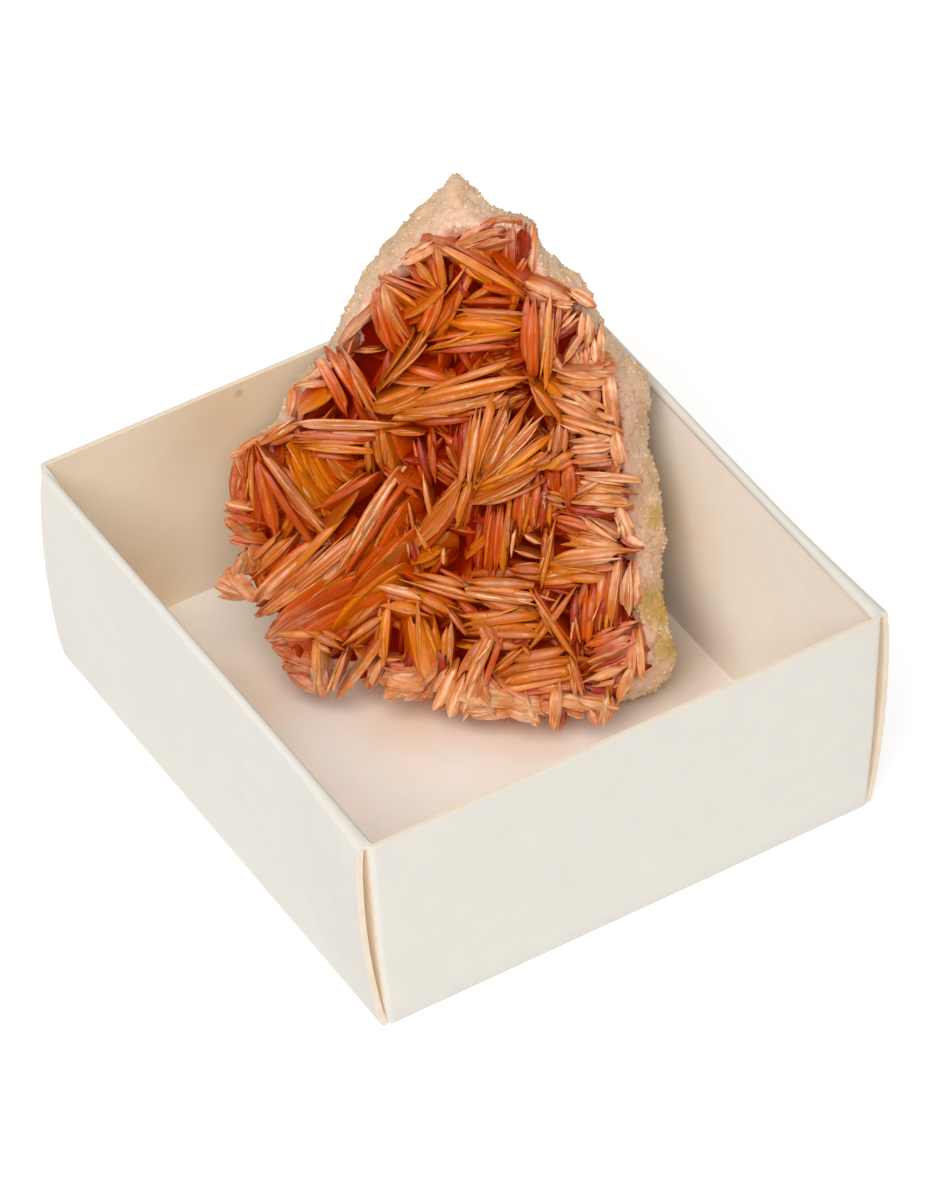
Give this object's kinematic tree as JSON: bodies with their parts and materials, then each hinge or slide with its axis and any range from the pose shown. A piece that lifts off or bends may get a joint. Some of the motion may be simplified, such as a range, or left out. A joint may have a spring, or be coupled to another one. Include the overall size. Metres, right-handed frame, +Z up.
{
  "type": "barite specimen in card tray",
  "caption": "Leaning mineral specimen: pale rock whose hollow face is a boxwork of thin orange barite blades, resting in an open folded card tray.",
  "frame": {"origin": "centre of the underside of the card tray", "axes": "+Z up; X across the tray between its two double walls, Y across it between its two single walls; the specimen stands in the +X +Y corner and its bladed face looks towards -X -Y and up"},
  "size_m": [0.071, 0.0724, 0.0526],
  "materials": {
    "white_card": "matt white card with cream cut edges",
    "pale_rock": "sugary, slightly glittering, with yellowish patches",
    "orange_barite": "glossy translucent orange to amber blades with frosted edges"
  },
  "bodies": {
    "root": {"card_tray": "white_card", "matrix": "pale_rock", "barite_blades": "orange_barite"}
  },
  "joints": []
}
